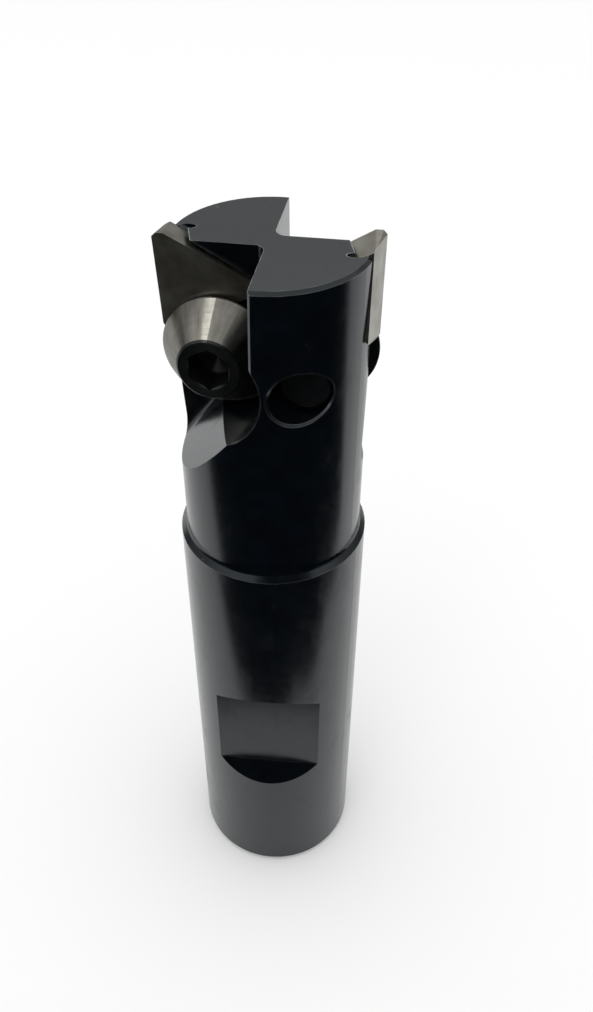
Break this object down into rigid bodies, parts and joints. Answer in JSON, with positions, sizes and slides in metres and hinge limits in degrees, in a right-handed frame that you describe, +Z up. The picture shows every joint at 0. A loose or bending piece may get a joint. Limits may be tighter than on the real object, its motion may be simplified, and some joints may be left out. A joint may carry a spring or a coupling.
{
  "type": "indexable face mill",
  "caption": "Straight-shank indexable face and shoulder mill with triangular carbide inserts, each held by a cone-head clamp screw, and a side-lock flat on the shank.",
  "frame": {"origin": "centre of the shank's foot, on the tool axis", "axes": "+Z up the tool axis towards the cutting end; -X towards insert 1's cutting edge, whose rake face looks to -Y; the side-lock flat faces -Y within 2.3 degrees"},
  "size_m": [0.0196, 0.019, 0.0849],
  "materials": {
    "body_steel": "black oxide over turned steel, satin",
    "carbide": "ground tungsten carbide, grey-brown",
    "screw_steel": "turned alloy steel with the oxide worn off the cone"
  },
  "bodies": {
    "cutter": {"cutter_body": "body_steel"},
    "insert_a": {"insert_1": "carbide"},
    "insert_b": {"insert_2": "carbide"},
    "screw_a": {"clamp_screw_1": "screw_steel"},
    "screw_b": {"clamp_screw_2": "screw_steel"}
  },
  "joints": [
    {"name": "insert_1_slide", "type": "slide", "parent": "cutter", "child": "insert_a", "axis": [-1, 0, 0], "range_m": [0, 0.008]},
    {"name": "insert_2_slide", "type": "slide", "parent": "cutter", "child": "insert_b", "axis": [1, 0, 0], "range_m": [0, 0.008]},
    {"name": "clamp_screw_1_travel", "type": "slide", "parent": "cutter", "child": "screw_a", "axis": [-0.0958, -0.9954, 0], "range_m": [0, 0.0055]},
    {"name": "clamp_screw_2_travel", "type": "slide", "parent": "cutter", "child": "screw_b", "axis": [0.0958, 0.9954, 0], "range_m": [0, 0.0055]}
  ]
}
